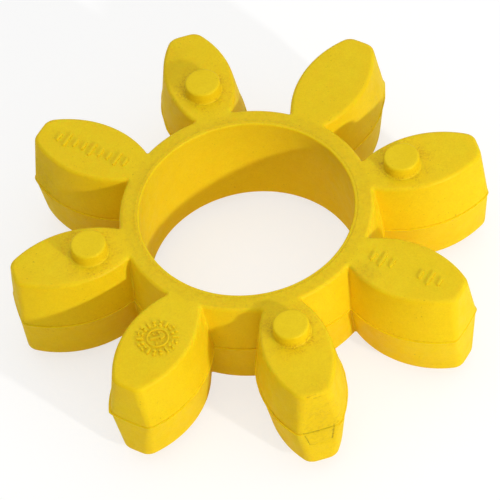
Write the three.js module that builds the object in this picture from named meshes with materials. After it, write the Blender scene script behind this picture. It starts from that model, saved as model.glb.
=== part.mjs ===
// Elastomer spider of a curved-jaw coupling: one moulding, laid out as a centre ring,
// eight barrel-shaped legs and eight round spacer dots. Millimetres, +Z up.
// Origin: on the bore axis, halfway through the thickness. Leg 1 points along +X.
import * as THREE from "three";

// Plan dimensions, all at the parting plane z = 0
const TIP_RADIUS = 32.5; // outer diameter 65
const RING_OUTER_RADIUS = 17.75;
const BORE_RADIUS = 14.25;
const LEG_COUNT = 8;
const LEG_HALF_WIDTH = 5.58; // at the fattest point of a leg
const LEG_FAT_RADIUS = 23.9; // distance of that point from the bore axis
const FLANK_RADIUS = 14.6; // convex arc of each flank
const TIP_CORNER_RADIUS = 1.1;
const TIP_CORNER_GROWTH = 0.6; // the corner opens up by this much per mm of inset
const ROOT_FILLET_RADIUS = 0.2; // between flank and ring wall
const ROOT_PLANE = 18.6; // flat face where a leg leaves the ring's stub

// Heights
const HALF_THICKNESS = 7.35; // 14.7 through the legs and ring
const FLANK_DRAFT_DEG = 8; // both halves taper away from the parting plane
const TIP_DRAFT_DEG = 2.8;
const RING_DRAFT_DEG = 6.5;
const BORE_DRAFT_DEG = 0.5;
const EDGE_FILLET = 0.5; // round along the top and bottom edges
const BORE_EDGE_FILLET = 0.25;

// Spacer dots, on the top of the odd legs and on the underside of the even ones
const DOT_RADIUS = 2.45;
const DOT_HEIGHT = 1.8;
const DOT_EDGE = 0.35;
const DOT_CIRCLE_RADIUS = 21.55;

// A plan outline is walked with a fixed number of steps per arc, so every level matches
const FLANK_STEPS = 7;
const STUB_STEPS = 2;
const CORNER_STEPS = 3;
const TIP_STEPS = 4;
const RING_STEPS = 3;
const BORE_STEPS = 64;
const FILLET_STEPS = 3;
const DOT_SEGMENTS = 20;
// The turned legs stop this far short of their root plane
const ROOT_GAP = 0.05;

const rad = THREE.MathUtils.degToRad;
const polyurethane = (hex) =>
  new THREE.MeshStandardMaterial({ color: hex, roughness: 0.55, metalness: 0 });
const RING_MATERIAL = polyurethane(0xe4c322);
const LEG_MATERIAL = polyurethane(0xe6c524);
const DOT_MATERIAL = polyurethane(0xe8c826);

// Points of an arc about (cx, cy), both ends included
const arcPoints = (cx, cy, r, from, to, steps) => {
  const curve = new THREE.EllipseCurve(cx, cy, r, r, from, to, to < from, 0);
  return curve.getPoints(steps);
};

// The crossing, on the +v side, of a circle about (0, 0) and one about the flank centre
const FLANK_CENTRE = new THREE.Vector2(LEG_FAT_RADIUS, LEG_HALF_WIDTH - FLANK_RADIUS);
const crossing = (rAxis, rFlank) => {
  const d = FLANK_CENTRE.length();
  const along = (rAxis ** 2 - rFlank ** 2 + d * d) / (2 * d);
  const across = Math.sqrt(rAxis ** 2 - along ** 2);
  const unit = FLANK_CENTRE.clone().normalize();
  const a = new THREE.Vector2(unit.x * along - unit.y * across, unit.y * along + unit.x * across);
  const b = new THREE.Vector2(unit.x * along + unit.y * across, unit.y * along - unit.x * across);
  return a.y > b.y ? a : b;
};
const angleFrom = (centre, p) => Math.atan2(p.y - centre.y, p.x - centre.x);
const flankHeightAngle = (u, r) => Math.acos((u - FLANK_CENTRE.x) / r);
const mirror = (points) => points.map((p) => new THREE.Vector2(p.x, -p.y)).reverse();

// Outline of a leg from its root plane round its tip, with its flanks and tip standing in
const legOutline = ({ insets: [flankInset, tipInset] }, rootPlane) => {
  const flank = FLANK_RADIUS - flankInset;
  const tip = TIP_RADIUS - tipInset;
  const round = TIP_CORNER_RADIUS + TIP_CORNER_GROWTH * flankInset;
  const corner = crossing(tip - round, flank - round);
  const onFlank = angleFrom(FLANK_CENTRE, corner);
  const onTip = Math.atan2(corner.y, corner.x);
  const half = [
    ...arcPoints(FLANK_CENTRE.x, FLANK_CENTRE.y, flank,
      flankHeightAngle(rootPlane, flank), onFlank, FLANK_STEPS),
    ...arcPoints(corner.x, corner.y, round, onFlank, onTip, CORNER_STEPS).slice(1),
    ...arcPoints(0, 0, tip, onTip, 0, TIP_STEPS / 2).slice(1),
  ];
  return [...half, ...mirror(half).slice(1)].reverse();
};

// Outline of the ring with its eight stubs, its walls standing in
const ringOutline = ({ edge, insets: [flankInset, , ringInset] }) => {
  const flank = FLANK_RADIUS - flankInset;
  const ring = RING_OUTER_RADIUS - ringInset;
  const fillet = ROOT_FILLET_RADIUS + edge;
  const corner = crossing(ring + fillet, flank + fillet);
  const onFlank = angleFrom(FLANK_CENTRE, corner);
  const onRing = Math.atan2(corner.y, corner.x);
  const half = [
    ...arcPoints(FLANK_CENTRE.x, FLANK_CENTRE.y, flank,
      flankHeightAngle(ROOT_PLANE, flank), onFlank, STUB_STEPS),
    ...arcPoints(corner.x, corner.y, fillet,
      onFlank - Math.PI, onRing - Math.PI, CORNER_STEPS).slice(1),
    ...arcPoints(0, 0, ring, onRing, Math.PI / LEG_COUNT, RING_STEPS).slice(1),
  ];
  const stub = [...mirror(half).slice(1), ...half];
  const outline = [];
  for (let k = 0; k < LEG_COUNT; k += 1) {
    const turn = (2 * Math.PI * k) / LEG_COUNT;
    outline.push(...stub.map((p) => p.clone().rotateAround(new THREE.Vector2(), turn)));
  }
  return outline;
};

// Levels from the underside to the top: z, how far the rounded edge stands in there, and
// how far each wall does, one for each draft angle
const levels = (fillet, draftDegs) => {
  const top = [];
  for (let i = 0; i <= FILLET_STEPS; i += 1) {
    const a = ((Math.PI / 2) * i) / FILLET_STEPS;
    const z = HALF_THICKNESS - fillet + fillet * Math.sin(a);
    const edge = fillet * (1 - Math.cos(a));
    top.push({ z, edge, insets: draftDegs.map((deg) => z * Math.tan(rad(deg)) + edge) });
  }
  const bottom = top.map((level) => ({ ...level, z: -level.z })).reverse();
  return [...bottom, { z: 0, edge: 0, insets: draftDegs.map(() => 0) }, ...top];
};

// Closed solid through equal-length outlines, one per level, with an optional hole
const loft = (outer, hole) => {
  const positions = [];
  const index = [];
  const addWall = (rings, flip) => {
    const first = positions.length / 3;
    const n = rings[0].points.length;
    for (const { z, points } of rings) for (const p of points) positions.push(p.x, p.y, z);
    for (let j = 0; j + 1 < rings.length; j += 1) {
      for (let i = 0; i < n; i += 1) {
        const a = first + j * n + i;
        const b = first + j * n + ((i + 1) % n);
        const quad = [a, b, b + n, a, b + n, a + n];
        index.push(...(flip ? quad.reverse() : quad));
      }
    }
    return { first, last: first + (rings.length - 1) * n, n };
  };
  const walls = [addWall(outer, false)];
  if (hole) walls.push(addWall(hole, true));
  const addCap = (level, key, flip) => {
    const contour = outer.at(level).points;
    const holes = hole ? [hole.at(level).points] : [];
    const ids = walls.flatMap((w) => Array.from({ length: w.n }, (_, i) => w[key] + i));
    for (const face of THREE.ShapeUtils.triangulateShape(contour, holes)) {
      const ordered = flip ? [...face].reverse() : face;
      index.push(...ordered.map((i) => ids[i]));
    }
  };
  addCap(0, "first", true);
  addCap(-1, "last", false);
  const geometry = new THREE.BufferGeometry();
  geometry.setAttribute("position", new THREE.Float32BufferAttribute(positions, 3));
  geometry.setIndex(index);
  geometry.computeVertexNormals();
  return geometry;
};

const coupling = new THREE.Group();
const addNode = (parent, name, geometry, material) => {
  const mesh = new THREE.Mesh(geometry, material);
  mesh.name = name;
  parent.add(mesh);
  return mesh;
};

// Centre ring, open through the middle
const wallLevels = levels(EDGE_FILLET, [FLANK_DRAFT_DEG, TIP_DRAFT_DEG, RING_DRAFT_DEG]);
const ringLevels = wallLevels.map((level) => ({ z: level.z, points: ringOutline(level) }));
const boreLevels = levels(BORE_EDGE_FILLET, [BORE_DRAFT_DEG]).map(({ z, insets: [inset] }) => ({
  z,
  points: arcPoints(0, 0, BORE_RADIUS + inset, 0, 2 * Math.PI, BORE_STEPS).slice(0, -1),
}));
addNode(coupling, "centre_ring", loft(ringLevels, boreLevels), RING_MATERIAL);

// Legs and dots, each pair in a group turned about the bore axis
const legLevels = wallLevels.map((level) => ({
  z: level.z,
  points: legOutline(level, ROOT_PLANE + ROOT_GAP),
}));
const dotProfile = [
  new THREE.Vector2(0, 0),
  new THREE.Vector2(DOT_RADIUS, 0),
  new THREE.Vector2(DOT_RADIUS - 0.05, DOT_HEIGHT - DOT_EDGE),
  new THREE.Vector2(DOT_RADIUS - 0.05 - DOT_EDGE * 0.3, DOT_HEIGHT - DOT_EDGE * 0.3),
  new THREE.Vector2(DOT_RADIUS - 0.05 - DOT_EDGE, DOT_HEIGHT),
  new THREE.Vector2(0, DOT_HEIGHT),
];
for (let k = 0; k < LEG_COUNT; k += 1) {
  const arm = new THREE.Group();
  arm.rotation.z = (2 * Math.PI * k) / LEG_COUNT;
  coupling.add(arm);
  addNode(arm, `leg_${k + 1}`, loft(legLevels), LEG_MATERIAL);

  // A lathe turns its profile about Y, so the dot is tipped to stand up, or hang down
  const dot = new THREE.LatheGeometry(dotProfile, DOT_SEGMENTS);
  const side = k % 2 === 0 ? 1 : -1;
  dot.rotateX((side * Math.PI) / 2);
  const spacer = addNode(arm, `spacer_dot_${k + 1}`, dot, DOT_MATERIAL);
  spacer.position.set(DOT_CIRCLE_RADIUS, 0, side * HALF_THICKNESS);
}

export default coupling;
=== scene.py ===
"""Moulded polyurethane spider of a jaw coupling: surface detail, materials, light and camera."""
import math

import bpy
import bmesh
import numpy as np
from mathutils import Matrix, Vector, noise
from mathutils.geometry import delaunay_2d_cdt


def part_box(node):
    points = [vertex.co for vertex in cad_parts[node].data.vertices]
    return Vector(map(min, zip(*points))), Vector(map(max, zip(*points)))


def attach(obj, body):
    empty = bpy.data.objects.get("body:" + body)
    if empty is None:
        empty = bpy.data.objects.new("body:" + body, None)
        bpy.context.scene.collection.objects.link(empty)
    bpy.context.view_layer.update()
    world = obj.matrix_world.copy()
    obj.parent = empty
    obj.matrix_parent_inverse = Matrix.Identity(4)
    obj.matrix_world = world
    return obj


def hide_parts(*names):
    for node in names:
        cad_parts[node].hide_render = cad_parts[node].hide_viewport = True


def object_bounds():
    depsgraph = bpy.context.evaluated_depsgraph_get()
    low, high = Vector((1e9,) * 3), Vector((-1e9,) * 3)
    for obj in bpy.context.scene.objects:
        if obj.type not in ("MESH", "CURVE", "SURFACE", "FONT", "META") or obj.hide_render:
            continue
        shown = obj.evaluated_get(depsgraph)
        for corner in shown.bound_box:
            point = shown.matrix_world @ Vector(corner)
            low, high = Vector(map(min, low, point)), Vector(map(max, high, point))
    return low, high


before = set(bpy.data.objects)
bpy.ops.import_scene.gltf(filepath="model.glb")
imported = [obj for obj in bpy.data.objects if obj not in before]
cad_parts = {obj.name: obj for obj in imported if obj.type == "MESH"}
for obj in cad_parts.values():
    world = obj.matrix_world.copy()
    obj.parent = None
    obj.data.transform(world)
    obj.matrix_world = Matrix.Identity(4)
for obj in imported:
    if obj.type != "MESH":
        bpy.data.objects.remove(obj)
cad_lo, cad_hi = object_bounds()

MM = 0.001
LEGS = 8
LEG_ANGLES = [2 * math.pi * k / LEGS for k in range(LEGS)]
# sizes that the CAD boxes give, in millimetres
TIP_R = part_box("leg_1")[1].x / MM
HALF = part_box("leg_1")[1].z / MM
DOT_LO, DOT_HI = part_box("spacer_dot_1")
DOT_TOP = DOT_HI.z / MM
DOT_R = (DOT_HI.y - DOT_LO.y) / 2 / MM
DOT_CIRCLE = (DOT_HI.x + DOT_LO.x) / 2 / MM
FLOOR_Z = cad_lo.z
# plan and section of the moulding, in millimetres
RING_R = 17.75
BORE_R = 14.25
FLANK_R = 14.6
FLANK_C = (23.9, 5.58 - FLANK_R)
TIP_CORNER = 1.1
CORNER_GROWTH = 0.6          # the corner opens up by this much per mm of inset
ROOT_FILLET = 0.2
EDGE = 0.5                   # round along the top and bottom edges
FLANK_DRAFT = math.tan(math.radians(8.0))
TIP_DRAFT = math.tan(math.radians(2.8))
RING_DRAFT = math.tan(math.radians(6.5))
BORE_DRAFT = math.tan(math.radians(0.5))
BORE_EDGE = 0.25
# how the two halves of the mould met, in millimetres
MISMATCH = (-0.04, -0.05)    # the lower half sits this far out of line
FLASH = 0.18                 # usual depth of the flash at the parting plane
FLASH_LIMIT = 0.05           # furthest that it may pass the tips
LEDGE = (0.03, 0.05)         # heights of the sharp ledge above the flash
# steps along each arc of half a leg's outline, and the nets of the bore and of the faces
TIP_STEPS = 8
CORNER_STEPS = 9
FLANK_STEPS = 34
FILLET_STEPS = 8
GAP_STEPS = 6
BORE_STEPS = 240
NET = 0.55                   # millimetres between the points of a face
ROW = 0.866                  # distance between their rows, as a share of that
FOOT = 0.12                  # raised marks reach this far below the face


# ---------------------------------------------------------------- outline

def turned(points, angle):
    """Plan points, turned anticlockwise."""
    c, s = math.cos(angle), math.sin(angle)
    return np.array(points) @ np.array([[c, s], [-s, c]])


def crossing(r_axis, r_flank):
    """Where a circle about the axis meets one about the flank's centre, on the +v side."""
    c = np.array(FLANK_C)
    d = np.hypot(*c)
    along = (r_axis**2 - r_flank**2 + d * d) / (2 * d)
    across = math.sqrt(max(r_axis**2 - along**2, 0))
    u = c / d
    n = np.array([-u[1], u[0]])
    a, b = u * along + n * across, u * along - n * across
    return a if a[1] > b[1] else b


def arc(centre, r, a0, a1, n):
    t = np.linspace(a0, a1, n + 1)
    return np.stack([centre[0] + r * np.cos(t), centre[1] + r * np.sin(t)], 1)


def half_leg(z, edge):
    """From the middle of the tip to the middle of the gap, on the +v side, at height z.

    edge is how far the rounded top or bottom edge stands in there, beyond the draft."""
    inset = abs(z) * FLANK_DRAFT + edge
    flank, ring = FLANK_R - inset, RING_R - abs(z) * RING_DRAFT - edge
    tip = TIP_R - abs(z) * TIP_DRAFT - edge
    fillet = ROOT_FILLET + edge
    corner = TIP_CORNER + CORNER_GROWTH * inset
    c1 = crossing(tip - corner, flank - corner)
    c2 = crossing(ring + fillet, flank + fillet)
    on_flank1 = math.atan2(c1[1] - FLANK_C[1], c1[0] - FLANK_C[0])
    on_flank2 = math.atan2(c2[1] - FLANK_C[1], c2[0] - FLANK_C[0])
    on_tip, on_ring = math.atan2(c1[1], c1[0]), math.atan2(c2[1], c2[0])
    return np.concatenate([
        arc((0, 0), tip, 0, on_tip, TIP_STEPS),
        arc(c1, corner, on_tip, on_flank1, CORNER_STEPS)[1:],
        arc(FLANK_C, flank, on_flank1, on_flank2, FLANK_STEPS)[1:],
        arc(c2, fillet, on_flank2 - math.pi, on_ring - math.pi, FILLET_STEPS)[1:],
        arc((0, 0), ring, on_ring, math.pi / LEGS, GAP_STEPS)[1:],
    ])


def star(z, edge):
    """The whole outline, anticlockwise, with the same number of points at every height."""
    half = half_leg(z, edge)
    mirrored = half[::-1] * (1, -1)
    leg = np.concatenate([mirrored[:-1], half[:-1]])
    return np.concatenate([turned(leg, t) for t in LEG_ANGLES])


def inside_top(x, y, margin):
    """True where a point is inside the flat top's outline by at least margin."""
    inset = HALF * FLANK_DRAFT + EDGE + margin
    r = np.hypot(x, y)
    hit = r < RING_R - HALF * RING_DRAFT - EDGE - margin
    for t in LEG_ANGLES:
        u = x * math.cos(t) + y * math.sin(t)
        v = np.abs(-x * math.sin(t) + y * math.cos(t))
        flank = np.hypot(u - FLANK_C[0], v - FLANK_C[1]) < FLANK_R - inset
        hit |= (u > 0) & (r < TIP_R - HALF * TIP_DRAFT - EDGE - margin) & flank
    return hit


def fractal(p, scale, seed=0.0):
    """Smooth noise in -1..1 at a feature size of scale millimetres."""
    v = Vector((p[0] / scale + seed, p[1] / scale - seed, p[2] / scale + 2 * seed))
    return noise.noise(v) * 0.7 + noise.noise(v * 2.3) * 0.3


# ---------------------------------------------------------------- moulding

def mesh_object(name, verts, faces, smooth=True):
    mesh = bpy.data.meshes.new(name)
    mesh.from_pydata([Vector(v) * MM for v in verts], [], faces)
    mesh.validate()
    bm = bmesh.new()
    bm.from_mesh(mesh)
    bmesh.ops.recalc_face_normals(bm, faces=bm.faces)
    bm.to_mesh(mesh)
    bm.free()
    if smooth:
        mesh.polygons.foreach_set("use_smooth", [True] * len(mesh.polygons))
    obj = bpy.data.objects.new(name, mesh)
    bpy.context.scene.collection.objects.link(obj)
    return obj


def points_of(mesh):
    """Vertex positions in millimetres, one row each."""
    co = np.zeros(len(mesh.vertices) * 3)
    mesh.vertices.foreach_get("co", co)
    return co.reshape(-1, 3) / MM


def skin(rings, verts, faces, inward=False):
    """Join rings of equal length with quads; gives the indices of the first and last ring."""
    first, n = len(verts), len(rings[0])
    for ring in rings:
        verts.extend(ring)
    for j in range(len(rings) - 1):
        for i in range(n):
            a, b = first + j * n + i, first + j * n + (i + 1) % n
            faces.append((a, a + n, b + n, b) if inward else (a, b, b + n, a + n))
    last = len(verts) - n
    return list(range(first, first + n)), list(range(last, last + n))


def wall_levels():
    """z, edge rounding and flash weight from the underside up, through the parting plane.

    The flash ends in a small ledge that faces up, with a crease just above it."""
    top = [(z, 0.0, 0.0) for z in np.linspace(0.5, HALF - EDGE, 12)]
    top += [(HALF - EDGE + EDGE * math.sin(a), EDGE * (1 - math.cos(a)), 0.0)
            for a in np.linspace(0, math.pi / 2, 10)[1:]]
    lower = [(-z, edge, weight) for z, edge, weight in top][::-1]
    bead = [(-0.3, 0.0, 0.0), (-0.14, 0.0, 0.5), (-0.05, 0.0, 0.95), (0.0, 0.0, 1.0),
            (LEDGE[0], 0.0, 0.95), (LEDGE[1], 0.0, -0.2), (0.12, 0.0, -0.3), (0.28, 0.0, 0.0)]
    return lower + bead + top


def flash_depth(x, y):
    """Flash at a point of the parting line: uneven, heaviest on legs 6 and 7, none at the gate."""
    lump = (0.6 + 0.7 * max(fractal((x, y, 0), 5.0, 3.1), 0)
            + 0.4 * fractal((x, y, 0), 1.3, 7.7))
    side = math.degrees(math.atan2(y, x)) % 360
    extra = (math.exp(-((side - 219) / 3.5) ** 2) * 1.6
             + math.exp(-((side - 262) / 3) ** 2) * 0.8)
    gate = math.exp(-((side - 270) / 4.3) ** 6)
    return (FLASH * max(lump, 0.45) + 0.12 * extra) * (1 - 0.8 * gate)


def outer_wall(levels):
    """One ring of points per level, round the legs and the ring between them."""
    plan = star(0.0, 0.0)
    chord = np.roll(plan, -1, 0) - np.roll(plan, 1, 0)
    normal = np.stack([chord[:, 1], -chord[:, 0]], 1) / np.hypot(*chord.T)[:, None]
    flash = np.array([flash_depth(x, y) for x, y in plan])
    rings = []
    for z, edge, weight in levels:
        ring = star(z, edge) + normal * (flash * weight)[:, None]
        over = np.maximum(np.hypot(*ring.T) / (TIP_R + FLASH_LIMIT), 1.0)[:, None]
        shift = np.array(MISMATCH) if z < 0 else 0.0
        rings.append([(x, y, z) for x, y in ring / over + shift])
    return rings


def bore_profile():
    """Radius and height from mid-height up, over the rounded edge and the witness line."""
    pts = [(BORE_R + z * BORE_DRAFT, z) for z in np.linspace(0, HALF - BORE_EDGE, 9)]
    foot = pts[-1][0]
    for a in np.linspace(0, math.pi / 2, 7)[1:]:
        pts.append((foot + BORE_EDGE * (1 - math.cos(a)),
                    HALF - BORE_EDGE + BORE_EDGE * math.sin(a)))
    lip = foot + BORE_EDGE
    for dr, dz in ((0.08, 0), (0.15, -0.03), (0.22, -0.02), (0.28, 0.03), (0.36, 0.03),
                   (0.46, 0)):
        pts.append((lip + dr, HALF + dz))
    return pts


def bore_wall(half):
    """Rings of points up through the bore, from a profile of its upper half."""
    rings = []
    for r, z in [(r, -z) for r, z in half[1:]][::-1] + half:
        ring = []
        for i in range(BORE_STEPS):
            t = 2 * math.pi * i / BORE_STEPS
            wobble = 0.02 * fractal((r * math.cos(t), r * math.sin(t), z), 4.0, 1.5)
            ring.append(((r + wobble) * math.cos(t), (r + wobble) * math.sin(t), z))
        rings.append(ring)
    return rings


def net_points(hole):
    """A fine triangle net over a face, clear of the outline and of the hole."""
    grid = []
    for j in range(int(2 * TIP_R / (NET * ROW)) + 1):
        y = -TIP_R + j * NET * ROW
        for i in range(int(2 * TIP_R / NET) + 1):
            grid.append((-TIP_R + (i + 0.5 * (j % 2)) * NET, y))
    grid = np.array(grid)
    clear = 0.3
    keep = inside_top(grid[:, 0], grid[:, 1], clear) & (np.hypot(*grid.T) > hole + clear)
    return grid[keep]


def cap(verts, faces, outer, inner, z, net):
    """Fill a flat face between two loops of vertices with triangles, through the net."""
    n, m = len(outer), len(inner)
    ids = outer + inner
    pts = [Vector(verts[i][:2]) for i in ids]
    for x, y in net:
        ids.append(len(verts))
        pts.append(Vector((x, y)))
        verts.append((x, y, z))
    loops = [(i, (i + 1) % n) for i in range(n)]
    loops += [(n + i, n + (i + 1) % m) for i in range(m)]
    _, _, tris, _, _, _ = delaunay_2d_cdt(pts, loops, [], 1, 1e-7)
    for tri in tris:
        in_bore = all(n <= i < n + m for i in tri)
        if not in_bore:
            faces.append(tuple(ids[i] for i in tri))


def build_moulding():
    """The ring and legs as one skin, and the edges of the ledge, which stay sharp."""
    verts, faces = [], []
    levels = wall_levels()
    half = bore_profile()
    low_loop, high_loop = skin(outer_wall(levels), verts, faces)
    low_bore, high_bore = skin(bore_wall(half), verts, faces, inward=True)
    net = net_points(half[-1][0])
    cap(verts, faces, low_loop, low_bore, -HALF, net)
    cap(verts, faces, high_loop, high_bore, HALF, net)
    n = len(low_loop)
    sharp = [j for j, level in enumerate(levels) if level[0] in LEDGE]
    pairs = {(j * n + i, j * n + (i + 1) % n) for j in sharp for i in range(n)}
    return verts, faces, {tuple(sorted(pair)) for pair in pairs}


def ripple(mesh):
    """Slow waviness of a moulded elastomer: the faces sink and swell by a few hundredths."""
    co = points_of(mesh)
    nrm = np.array([v.normal[:] for v in mesh.vertices])
    swell = np.array([0.022 * fractal(p, 7.0, 0.4) + 0.004 * fractal(p, 1.6, 4.2) for p in co])
    sink = np.array([0.03 * max(abs(p[2]) / HALF - 0.9, 0) * 10 * fractal(p, 9.0, 8.8)
                     for p in co])
    co += nrm * (swell + np.minimum(sink, 0))[:, None]
    mesh.vertices.foreach_set("co", (co * MM).ravel())
    mesh.update()


verts, faces, sharp_pairs = build_moulding()
body = mesh_object("spider_body", verts, faces)
for side in body.data.edges:
    side.use_edge_sharp = tuple(sorted(side.vertices)) in sharp_pairs
ripple(body.data)


# ---------------------------------------------------------------- dots

def lathe(centre, z0, up, profile, segments):
    """A closed piece turned about a vertical axis, from a profile that ends back at the axis."""
    verts, faces, rows = [], [], []
    for r, h in profile:
        if r < 1e-6:
            rows.append([len(verts)])
            verts.append((centre[0], centre[1], z0 + up * h))
            continue
        rows.append(list(range(len(verts), len(verts) + segments)))
        for i in range(segments):
            t = 2 * math.pi * i / segments
            verts.append((centre[0] + r * math.cos(t), centre[1] + r * math.sin(t), z0 + up * h))
    for a, b in zip(rows[:-1], rows[1:]):
        for i in range(segments):
            j = (i + 1) % segments
            if len(a) == 1:
                faces.append((a[0], b[i], b[j]))
            elif len(b) == 1:
                faces.append((a[i], b[0], a[j]))
            else:
                faces.append((a[i], b[i], b[j], a[j]))
    return verts, faces


def dot_profile():
    """Radius and height of a dot, from a foot sunk in the leg to its rounded top edge."""
    height = DOT_TOP - HALF
    top_r, edge, fillet = DOT_R - 0.04, 0.32, 0.2
    pts = [(0.0, -0.25), (DOT_R + 0.1, -0.25), (DOT_R + 0.28, -0.06)]
    for a in np.linspace(0, math.pi / 2, 5):
        pts.append((DOT_R + fillet - fillet * math.sin(a), fillet - fillet * math.cos(a)))
    pts.append((DOT_R - 0.02, height * 0.5))
    for a in np.linspace(0, math.pi / 2, 7):
        pts.append((top_r - edge + edge * math.cos(a), height - edge + edge * math.sin(a)))
    pts += [(top_r * f, height) for f in (0.7, 0.45, 0.2)] + [(0.0, height)]
    return pts


pieces = []
for k in range(LEGS):
    at = (DOT_CIRCLE * math.cos(LEG_ANGLES[k]), DOT_CIRCLE * math.sin(LEG_ANGLES[k]))
    up = 1 if k % 2 == 0 else -1
    v, f = lathe(at, up * HALF, up, dot_profile(), 72)
    v = [(x + 0.02 * fractal((x, y, z), 2.5, k), y + 0.02 * fractal((y, z, x), 2.5, k), z)
         for x, y, z in v]
    dot = mesh_object(f"moulded_dot_{k + 1}", v, f)
    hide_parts(f"spacer_dot_{k + 1}")
    pieces.append(dot)


# ---------------------------------------------------------------- raised marks

# mould wheel: its leg, and its middle along and across that leg
WHEEL = (6, 23.6, 0.0)
TICK_COUNT = 18
# its ticks in turn: length and width of each bar, how far out it is, and if it lies across
TICKS = (
    ((0.86, 0.26, 2.34, False),),
    ((0.42, 0.38, 2.08, False), (0.36, 0.32, 2.62, False)),
    ((0.42, 0.24, 2.62, True), (0.4, 0.24, 2.1, True)),
)
POINTER = [(-0.95, -0.12), (0.35, -0.12), (0.35, -0.42), (1.0, 0.0), (0.35, 0.42), (0.35, 0.12),
           (-0.95, 0.12)]
# plain bars in place of words and figures: the leg, and how far out each bar is
BARS = (
    (4, (18.6, 19.9, 21.2, 22.5, 23.8, 25.1, 26.4, 27.7, 29.0)),
    (8, (19.0, 20.4, 21.8, 26.0, 27.4, 28.8)),
)


def raised_prism(outline, height, bevel):
    """A small raised shape on the top face, with a sloped and softened side."""
    c = np.mean(outline, 0)
    rings = []
    for grow, z in ((bevel, -FOOT), (bevel, 0.0), (bevel * 0.35, height * 0.6),
                    (0.0, height * 0.92), (-bevel * 0.5, height)):
        ring = []
        for p in outline:
            d = np.array(p) - c
            reach = np.hypot(*d)
            q = c + d * (reach + grow) / max(reach, 1e-6)
            ring.append((q[0], q[1], HALF + z))
        rings.append(ring)
    verts, faces = [], []
    foot, rim = skin(rings, verts, faces)
    faces.append(tuple(foot[::-1]))
    faces.append(tuple(rim))
    return verts, faces


def place(points, leg, u0, v0, turn=0.0):
    """Points given about a spot on a leg's top, moved to the part's frame."""
    return turned(turned(points, turn) + (u0, v0), LEG_ANGLES[leg - 1])


def add_to(store, v, f):
    base = len(store[0])
    store[0].extend(v)
    store[1].extend(tuple(i + base for i in face) for face in f)


def capsule(length, width, across=False):
    """Outline of a round-ended bar along u, or across it."""
    h, r = length / 2 - width / 2, width / 2
    sweep = np.linspace(-math.pi / 2, math.pi / 2, 6)
    bar = np.array([(h + r * math.cos(t), r * math.sin(t)) for t in sweep]
                   + [(-h - r * math.cos(t), -r * math.sin(t)) for t in sweep])
    return bar[:, ::-1] * (1, -1) if across else bar


def ring_band(leg, u0, v0, r0, r1, height, n=64):
    """A raised round rim, closed, its foot below the face."""
    profile = [(r0 - 0.04, -FOOT), (r0, 0.0), (r0 + 0.03, height * 0.8),
               ((r0 + r1) / 2, height), (r1 - 0.03, height * 0.8), (r1, 0.0),
               (r1 + 0.04, -FOOT)]
    verts, faces = [], []
    for r, z in profile:
        circle = [(r * math.cos(2 * math.pi * i / n), r * math.sin(2 * math.pi * i / n))
                  for i in range(n)]
        verts += [(x, y, HALF + z) for x, y in place(circle, leg, u0, v0)]
    m = len(profile)
    for j in range(m):
        for i in range(n):
            a, b = j * n + i, j * n + (i + 1) % n
            c, d = ((j + 1) % m) * n + (i + 1) % n, ((j + 1) % m) * n + i
            faces.append((a, b, c, d))
    return verts, faces


def mould_wheel():
    """A ring of plain ticks and pips about a dial with a pointer."""
    store = ([], [])
    for i in range(TICK_COUNT):
        t = 2 * math.pi * i / TICK_COUNT
        for length, width, out, across in TICKS[i % len(TICKS)]:
            bar = turned(capsule(length, width, across) + (out, 0), t)
            add_to(store, *raised_prism(place(bar, *WHEEL), 0.24, 0.05))
    add_to(store, *ring_band(*WHEEL, 1.26, 1.52, 0.2))
    for degrees in (20, 200, 250):
        spot = turned(capsule(0.34, 0.24) + (0.86, 0), math.radians(degrees))
        add_to(store, *raised_prism(place(spot, *WHEEL), 0.18, 0.05))
    pointer = place(POINTER, *WHEEL, math.radians(132))
    add_to(store, *raised_prism(pointer, 0.24, 0.04))
    return store


def cavity_marks():
    """Rows of bars on two legs, every third one long."""
    store = ([], [])
    for leg, spots in BARS:
        for i, u in enumerate(spots):
            bar = capsule(2.3 if i % 3 == 1 else 1.4, 0.34, across=True)
            add_to(store, *raised_prism(place(bar, leg, u, 0.1), 0.22, 0.05))
    return store


def gate_scar():
    """The raised, ragged patch just under the parting line on the tip of leg 7."""
    cols, rows = 44, 26
    top_z, low_z = 0.08, -2.7
    verts, faces = [], []
    c, s = math.cos(LEG_ANGLES[6]), math.sin(LEG_ANGLES[6])
    for front in (False, True):
        for j in range(rows + 1):
            fz = j / rows
            z = top_z + (low_z - top_z) * fz
            left, right = -2.15 + 0.57 * fz, 2.0 - 0.5 * fz
            for i in range(cols + 1):
                fx = i / cols
                v = left + (right - left) * fx
                rag = 0.07 * fractal((v, z, 0), 0.5, 2.0)
                wall = math.sqrt((TIP_R - abs(z) * TIP_DRAFT) ** 2 - v * v)
                if not front:
                    u = wall - 0.35
                elif i in (0, cols) or j in (0, rows):
                    u = wall - 0.12
                    v += rag
                else:
                    inward = min(fx * 4.1, (1 - fx) * 3.7, fz * 2.6 + 0.02, (1 - fz) * 2.6)
                    lift = 0.07 * min(max((inward + rag) / 0.22, 0), 1) ** 0.7
                    u = wall + (lift + 0.015 * fractal((v, z, 5), 0.8, 1.0))
                verts.append((u * c - v * s, u * s + v * c, z))
    width = cols + 1
    size = width * (rows + 1)
    for j in range(rows):
        for i in range(cols):
            a = j * width + i
            faces.append((a, a + width, a + width + 1, a + 1))
            faces.append(tuple(size + q for q in (a, a + 1, a + width + 1, a + width)))
    border = ([j * width for j in range(rows)] + [rows * width + i for i in range(cols)]
              + [j * width + cols for j in range(rows, 0, -1)] + list(range(cols, 0, -1)))
    for p, q in zip(border, border[1:] + border[:1]):
        faces.append((p, size + p, size + q, q))
    return verts, faces


pieces.append(mesh_object("mould_wheel", *mould_wheel(), smooth=False))
pieces.append(mesh_object("cavity_marks", *cavity_marks(), smooth=False))
pieces.append(mesh_object("gate_scar", *gate_scar()))

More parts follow.
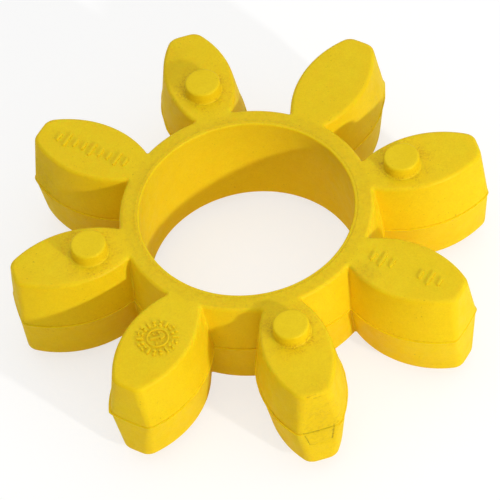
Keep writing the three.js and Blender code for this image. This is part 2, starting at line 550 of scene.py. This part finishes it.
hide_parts("centre_ring", *[f"leg_{k + 1}" for k in range(LEGS)])
pieces.append(body)


# ---------------------------------------------------------------- grime and painted shade masks

# handled spots: centre, reach along x, y and z in millimetres, and strength
SMUDGES = (
    ((0.8, -32.4, 1.5), (4.0, 3.0, 6.5), 1.0),
    ((-23.8, 18.6, 2.0), (3.0, 3.0, 3.5), 1.0),
    ((-3.0, 29.0, 7.35), (3.0, 3.0, 2.0), 0.45),
    ((21.9, 16.3, 4.0), (3.0, 3.0, 3.0), 0.6),
    ((-20.5, -25.5, 0.0), (2.5, 2.5, 4.0), 0.3),
    ((-16.69, -16.69, 7.35), (1.3, 1.3, 1.0), 1.0),
    ((11.8, -15.4, 7.2), (1.6, 1.6, 0.8), 1.0),
)


def paint(mesh):
    """Masks held on the vertices: dirt, moulded lines with painted shade in the crease, rubbed
    edges, handled spots and painted shade on the ring's faces.
    """
    p = points_of(mesh)
    height = np.abs(p[:, 2])
    r = np.hypot(p[:, 0], p[:, 1])
    # dust round the feet of the dots and in the mould wheel
    dirt = np.zeros(len(p))
    for k, t in enumerate(LEG_ANGLES):
        up = 1 if k % 2 == 0 else -1
        d = np.hypot(p[:, 0] - DOT_CIRCLE * math.cos(t), p[:, 1] - DOT_CIRCLE * math.sin(t))
        near = np.exp(-(np.maximum(d - DOT_R - 0.1, 0) / 1.7) ** 2)
        dirt = np.maximum(dirt, near * (np.abs(p[:, 2] - up * HALF) < 0.35))
    about = np.hypot(*(p[:, :2] - place([(0, 0)], *WHEEL)[0]).T)
    dial = np.where(about < 1.4, 1.0, 0.45) * (about < 3.0)
    dirt = np.maximum(dirt, dial * (p[:, 2] > HALF - 0.1) * (p[:, 2] < HALF + 0.06))
    # dirt on the witness line round the bore, and painted shade in the crease above the flash
    lip = np.exp(-((r - BORE_R - 0.66) / 0.14) ** 2) * (height > HALF - 0.3)
    crease = np.exp(-((p[:, 2] - 0.09) / 0.05) ** 2) * (r > BORE_R + 1)
    rounding = np.clip((height - (HALF - EDGE)) / EDGE, 0, 1)
    rubbed = np.where(r > BORE_R + 1, 4 * rounding * (1 - rounding), 0)
    # painted shade that darkens the ring's flat faces, and the handled spots
    smudge_and_shade = 0.5 * (r < RING_R - 1.2) * (r > BORE_R + 0.3) * (height > HALF - 0.1)
    for spot, reach, amount in SMUDGES:
        away = np.linalg.norm((p - spot) / reach, axis=1)
        smudge_and_shade = np.maximum(smudge_and_shade, amount * np.exp(-away ** 2))
    # the last mask carries the handled spots and painted shade on the ring's faces; line carries
    # dirt on the witness line and painted shade in the crease
    for name, values in (("dirt", dirt), ("line", np.maximum(lip, crease)), ("edge", rubbed),
                         ("smudge_and_shade", smudge_and_shade)):
        layer = mesh.attributes.new(name, "FLOAT", "POINT")
        layer.data.foreach_set("value", values.astype(np.float32))


for obj in pieces:
    paint(obj.data)


# ---------------------------------------------------------------- polyurethane

# painted shade on the seventh leg's tip, across and up: from, to, half width and darkness, in
# millimetres
STROKES = (
    ((-2.15, 0.1), (1.9, 0.1), 0.11, 0.4),
    ((-2.15, 0.2), (-1.55, -2.55), 0.11, 0.55),
    ((1.95, 0.4), (1.5, -2.5), 0.17, 0.6),
    ((-1.6, -2.7), (-0.8, -2.85), 0.09, 0.3),
    ((-1.0, 7.15), (0.2, 7.2), 0.10, 0.35),
    ((-0.25, 6.75), (0.65, 6.8), 0.11, 0.5),
    ((2.4, 1.4), (3.2, 1.9), 0.10, 0.3),
)


def linear(rgb):
    """Scene-linear colour of a screen colour given as 0 to 255."""
    return [((c / 255 + 0.055) / 1.055) ** 2.4 if c > 10 else c / 255 / 12.92 for c in rgb] + [1.0]


class Nodes:
    """Short ways to add nodes to the tree of a material or a world."""

    def __init__(self, tree, space):
        self.tree = tree
        self.where = self.add("ShaderNodeTexCoord").outputs[space]

    def add(self, kind, **props):
        item = self.tree.nodes.new(kind)
        for key, value in props.items():
            setattr(item, key, value)
        return item

    def link(self, a, b):
        self.tree.links.new(a, b)

    def feed(self, sockets, values):
        """Link or set each input, whichever its value calls for; None leaves it alone."""
        for socket, value in zip(sockets, values):
            if hasattr(value, "is_output"):
                self.link(value, socket)
            elif value is not None:
                socket.default_value = value

    def maths(self, op, *values):
        m = self.add("ShaderNodeMath", operation=op)
        self.feed(m.inputs, values)
        return m.outputs["Value"]

    def times(self, a, b):
        return self.maths("MULTIPLY", a, b)

    def vector(self, op, a, b=None, scale=None):
        m = self.add("ShaderNodeVectorMath", operation=op)
        self.feed(m.inputs, (a, b))
        if scale is not None:
            self.link(scale, m.inputs["Scale"])
        return m.outputs["Value" if op in ("DOT_PRODUCT", "LENGTH") else "Vector"]

    def attribute(self, name):
        return self.add("ShaderNodeAttribute", attribute_name=name).outputs["Fac"]

    def noise(self, size, detail, rough, offset=0.0):
        """Noise with features of size millimetres, shifted by offset to differ from the rest."""
        mapping = self.add("ShaderNodeMapping")
        mapping.inputs["Scale"].default_value = (1 / (size * MM),) * 3
        mapping.inputs["Location"].default_value = (offset,) * 3
        self.link(self.where, mapping.inputs["Vector"])
        tex = self.add("ShaderNodeTexNoise")
        names = ("Vector", "Scale", "Detail", "Roughness")
        self.feed([tex.inputs[n] for n in names], (mapping.outputs["Vector"], 1.0, detail, rough))
        return tex.outputs["Fac"]

    def ramp(self, value, lo, hi, a=0.0, b=1.0):
        """A smooth step from a at lo to b at hi."""
        m = self.add("ShaderNodeMapRange", interpolation_type="SMOOTHSTEP")
        names = ("Value", "From Min", "From Max", "To Min", "To Max")
        self.feed([m.inputs[n] for n in names], (value, lo, hi, a, b))
        return m.outputs["Result"]

    def tint(self, base, mask, rgb):
        """Base where the mask is 0 and the colour where it is 1."""
        m = self.add("ShaderNodeMix", data_type="RGBA")
        self.feed((m.inputs[0], m.inputs[6], m.inputs[7]), (mask, base, linear(rgb)))
        return m.outputs[2]


def on_tip(x, z):
    """The point of the seventh leg's tip that lies x across and z up."""
    up = max(abs(z) - (HALF - EDGE), 0.0)
    half = half_leg(z, EDGE - math.sqrt(EDGE ** 2 - up ** 2))[:TIP_STEPS + CORNER_STEPS + 1]
    return Vector((x, -float(np.interp(abs(x), half[:, 1], half[:, 0])), z))


def stroke(nodes, a, b, width, ragged):
    """1 on the segment a-b, falling to 0 at width either side, with a ragged border."""
    a, b = on_tip(*a) * MM, on_tip(*b) * MM
    way = b - a
    arm = nodes.vector("SUBTRACT", nodes.where, a)
    along = nodes.vector("DOT_PRODUCT", arm, way / way.length_squared)
    along = nodes.maths("MINIMUM", nodes.maths("MAXIMUM", along, 0.0), 1.0)
    off = nodes.vector("SUBTRACT", arm, nodes.vector("SCALE", way, scale=along))
    off = nodes.vector("LENGTH", nodes.vector("MULTIPLY", off, (1.0, 0.3, 1.0)))
    waver = nodes.times(nodes.maths("SUBTRACT", ragged, 0.5), 3 * width * MM)
    return nodes.ramp(nodes.maths("ADD", off, waver), width * 0.3 * MM, width * MM, 1.0, 0.0)


def tip_crevice_shade(nodes):
    """Painted shade in the crevices round the gate scar and in the nicks on the same leg's tip."""
    ragged = nodes.noise(0.3, 3.0, 0.6, 100.0)
    fade = nodes.ramp(nodes.noise(0.9, 3.0, 0.7, 105.0), 0.36, 0.6, 0.35, 1.0)
    shaded_crevices = None
    for a, b, width, depth in STROKES:
        mark = nodes.times(nodes.times(stroke(nodes, a, b, width, ragged), fade), depth)
        shaded_crevices = mark if shaded_crevices is None else nodes.maths("MAXIMUM", shaded_crevices, mark)
    return shaded_crevices


def colour(nodes, film_and_shade, scuffs, shaded_crevices):
    """The yellow and all that marks it; each mask is weighted by how strong it may get."""
    # broad drift, blotches of about a millimetre and a fine grain
    broad = nodes.ramp(nodes.noise(9.0, 2.0, 0.55), 0.35, 0.65)
    base = nodes.tint(linear((247, 214, 26)), broad, (250, 218, 30))
    cloud = nodes.ramp(nodes.noise(1.1, 4.0, 0.65, 3.0), 0.3, 0.72)
    base = nodes.tint(base, nodes.times(cloud, 0.35), (239, 203, 20))
    grain = nodes.ramp(nodes.noise(0.22, 3.0, 0.7, 9.0), 0.35, 0.7)
    base = nodes.tint(base, nodes.times(grain, 0.32), (226, 189, 16))
    # sparse dark specks, dust in the corners round the dots and in the mould wheel, dirt on the
    # witness line and painted shade in the crease above the flash
    specks = nodes.ramp(nodes.noise(0.24, 2.0, 0.5, 21.0), 0.67, 0.76)
    region = nodes.ramp(nodes.noise(5.0, 2.0, 0.5, 30.0), 0.42, 0.6)
    base = nodes.tint(base, nodes.times(nodes.times(specks, region), 0.45), (120, 92, 10))
    dust = nodes.ramp(nodes.noise(0.26, 3.0, 0.7, 40.0), 0.4, 0.64)
    patch = nodes.ramp(nodes.noise(1.6, 2.0, 0.5, 44.0), 0.36, 0.62)
    dust = nodes.times(nodes.times(dust, patch), nodes.attribute("dirt"))
    base = nodes.tint(base, nodes.times(dust, 0.5), (190, 126, 20))
    # dirt on the witness line, and painted shade darkening the crease above the flash, broken up
    # by noise
    broken = nodes.ramp(nodes.noise(0.6, 4.0, 0.75, 50.0), 0.38, 0.72)
    line = nodes.times(nodes.attribute("line"), broken)
    base = nodes.tint(base, nodes.times(line, 0.28), (140, 100, 10))
    # rubbed grey-green smears along the rounded edges
    smear = nodes.ramp(nodes.noise(2.6, 4.0, 0.6, 60.0), 0.52, 0.7)
    smear = nodes.times(nodes.attribute("edge"), smear)
    base = nodes.tint(base, nodes.times(smear, 0.16), (190, 160, 50))
    # a dull film where it was handled, with scuffs in it; the same mask paints shade, mottled by
    # the scuffs, on the ring's flat faces
    base = nodes.tint(base, nodes.times(film_and_shade, 0.3), (214, 178, 40))
    base = nodes.tint(base, nodes.times(nodes.times(film_and_shade, scuffs), 0.35), (186, 146, 24))
    # the crevices round the gate scar and the nicks are painted dark brown as their shade
    return nodes.tint(base, shaded_crevices, (118, 72, 4))


def polyurethane(name, scatter):
    """The moulding's yellow; scatter is the share of light that spreads under the surface."""
    mat = bpy.data.materials.new(name)
    mat.use_nodes = True
    mat.node_tree.nodes.clear()
    nodes = Nodes(mat.node_tree, "Object")
    bsdf = nodes.add("ShaderNodeBsdfPrincipled")
    nodes.link(bsdf.outputs["BSDF"], nodes.add("ShaderNodeOutputMaterial").inputs["Surface"])
    # this mask holds the handled spots and painted shade on the ring's flat faces
    film_and_shade = nodes.attribute("smudge_and_shade")
    scuffs = nodes.ramp(nodes.noise(0.5, 5.0, 0.75, 110.0), 0.45, 0.7)
    # painted shade for the crevices and nicks, which the bump also sinks
    shaded_crevices = tip_crevice_shade(nodes)
    nodes.link(colour(nodes, film_and_shade, scuffs, shaded_crevices), bsdf.inputs["Base Color"])

    rough = nodes.ramp(nodes.noise(1.7, 3.0, 0.6, 70.0), 0.3, 0.7, 0.38, 0.52)
    nodes.link(nodes.maths("ADD", rough, nodes.times(film_and_shade, 0.15)), bsdf.inputs["Roughness"])
    bsdf.inputs["IOR"].default_value = 1.5
    bsdf.inputs["Specular IOR Level"].default_value = 0.38
    bsdf.inputs["Specular Tint"].default_value = (1.0, 0.72, 0.25, 1.0)
    bsdf.inputs["Subsurface Weight"].default_value = scatter
    bsdf.inputs["Subsurface Radius"].default_value = (1.0, 0.5, 0.12)
    bsdf.inputs["Subsurface Scale"].default_value = 1.0 * MM

    fine = nodes.noise(0.35, 4.0, 0.7, 80.0)
    slow = nodes.noise(1.9, 3.0, 0.55, 90.0)
    height = nodes.maths("ADD", nodes.times(fine, 0.05), nodes.times(slow, 0.06))
    height = nodes.maths("SUBTRACT", height, nodes.times(shaded_crevices, 0.08))
    height = nodes.maths("SUBTRACT", height, nodes.times(nodes.times(film_and_shade, scuffs), 0.05))
    bump = nodes.add("ShaderNodeBump")
    bump.inputs["Strength"].default_value = 0.6
    bump.inputs["Distance"].default_value = 1.0 * MM
    nodes.link(height, bump.inputs["Height"])
    nodes.link(bump.outputs["Normal"], bsdf.inputs["Normal"])
    return mat


# light that spreads under the skin leaks through the small raised pieces, so they have none
deep = polyurethane("yellow_polyurethane", 0.5)
shallow = polyurethane("yellow_polyurethane_raised", 0.0)
for obj in pieces:
    obj.data.materials.clear()
    obj.data.materials.append(deep if obj is body else shallow)
    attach(obj, "root")


# ---------------------------------------------------------------- stage, light, camera

def plane(name, z, albedo, glow, tint=(1, 1, 1)):
    """A large flat sheet; glow is a little light of its own, which keeps the shadow faint."""
    side = 3.0
    mesh = bpy.data.meshes.new(name)
    mesh.from_pydata([(-side, -side, z), (side, -side, z), (side, side, z), (-side, side, z)],
                     [], [(0, 1, 2, 3)])
    mat = bpy.data.materials.new(name)
    mat.use_nodes = True
    shader = mat.node_tree.nodes["Principled BSDF"]
    shader.inputs["Base Color"].default_value = (*(albedo * c for c in tint), 1)
    shader.inputs["Roughness"].default_value = 0.9
    shader.inputs["Specular IOR Level"].default_value = 0.1
    shader.inputs["Emission Color"].default_value = (*tint, 1)
    shader.inputs["Emission Strength"].default_value = glow
    mesh.materials.append(mat)
    obj = bpy.data.objects.new(name, mesh)
    bpy.context.scene.collection.objects.link(obj)
    return obj


# the seen floor, and just under it the warm card whose bounce lights the piece from below
floor = plane("floor", FLOOR_Z, 0.38, 0.68)
floor.visible_diffuse = floor.visible_glossy = floor.visible_shadow = False
card = plane("bounce_card", FLOOR_Z - 0.0002, 0.93, 0.1, (1.0, 0.91, 0.4))
card.visible_camera = False


def direction(azimuth, elevation):
    """Unit vector; the azimuth is anticlockwise from +X, seen from above, in degrees."""
    a, e = math.radians(azimuth), math.radians(elevation)
    return Vector((math.cos(a) * math.cos(e), math.sin(a) * math.cos(e), math.sin(e)))


def softbox(name, way, distance, size, power):
    """A square area light that shines at the origin."""
    data = bpy.data.lights.new(name, "AREA")
    data.size = size
    data.energy = power
    obj = bpy.data.objects.new(name, data)
    obj.location = way * distance
    obj.rotation_mode = "QUATERNION"
    obj.rotation_quaternion = way.to_track_quat("Z", "Y")
    bpy.context.scene.collection.objects.link(obj)


# soft fill from the studio's ceiling and walls, each (azimuth, elevation, tightness, level)
GLOWS = [(0, 90, 2, 0.74)]
GLOWS += [(azimuth, 50, 8, 0.2) for azimuth in (0, 45, 90, 135, 270, 315)]
GLOWS += [(azimuth, 50, 8, 0.15) for azimuth in (180, 225)]
GLOWS += [(azimuth, 15, 4, 0.15) for azimuth in (0, 45, 90, 135)]
GLOWS += [(315, 15, 4, 0.07), (261, 38, 30, 0.25)]


def studio_world(glows):
    """A white world whose brightness is the sum of the glows, each fading off its direction."""
    world = bpy.data.worlds.new("studio")
    bpy.context.scene.world = world
    world.use_nodes = True
    nodes = Nodes(world.node_tree, "Generated")
    total = 0.0
    for azimuth, elevation, tightness, level in glows:
        facing = nodes.vector("DOT_PRODUCT", nodes.where, direction(azimuth, elevation))
        fall = nodes.maths("POWER", nodes.maths("MAXIMUM", facing, 0.0), tightness)
        total = nodes.maths("MULTIPLY_ADD", fall, level, total)
    background = world.node_tree.nodes["Background"]
    nodes.link(total, background.inputs["Strength"])
    background.inputs["Color"].default_value = (1.0, 1.0, 1.0, 1.0)


softbox("key", direction(-60.5, 21.7), distance=0.5, size=0.02, power=1.17)
studio_world(GLOWS)

bpy.context.scene.view_settings.view_transform = "Standard"
bpy.context.scene.view_settings.look = "None"

# Long-lens view from above and in front, the camera rolled a little about its own axis
ELEV, ROLL, TURN = (math.radians(a) for a in (52.04, 8.39, 9.16))
DISTANCE, AIM_RIGHT, AIM_DOWN = 0.50725, 0.00019, -0.00108
right = Vector((math.cos(ROLL), -math.sin(ROLL) * math.sin(ELEV),
                -math.sin(ROLL) * math.cos(ELEV)))
up = Vector((math.sin(ROLL), math.cos(ROLL) * math.sin(ELEV), math.cos(ROLL) * math.cos(ELEV)))
ahead = Vector((0, math.cos(ELEV), -math.sin(ELEV)))
spin = Matrix.Rotation(-TURN, 3, "Z")
eye = spin @ (-(right * AIM_RIGHT - up * AIM_DOWN + ahead * DISTANCE))
right, up, ahead = spin @ right, spin @ up, spin @ ahead
cam_data = bpy.data.cameras.new("camera")
cam_data.sensor_width = 36.0
cam_data.lens = 273.07
cam_data.clip_start, cam_data.clip_end = 0.02, 20.0
cam = bpy.data.objects.new("camera", cam_data)
bpy.context.scene.collection.objects.link(cam)
axes = Matrix((right, up, -ahead)).transposed().to_4x4()
cam.matrix_world = Matrix.Translation(eye) @ axes
bpy.context.scene.camera = cam
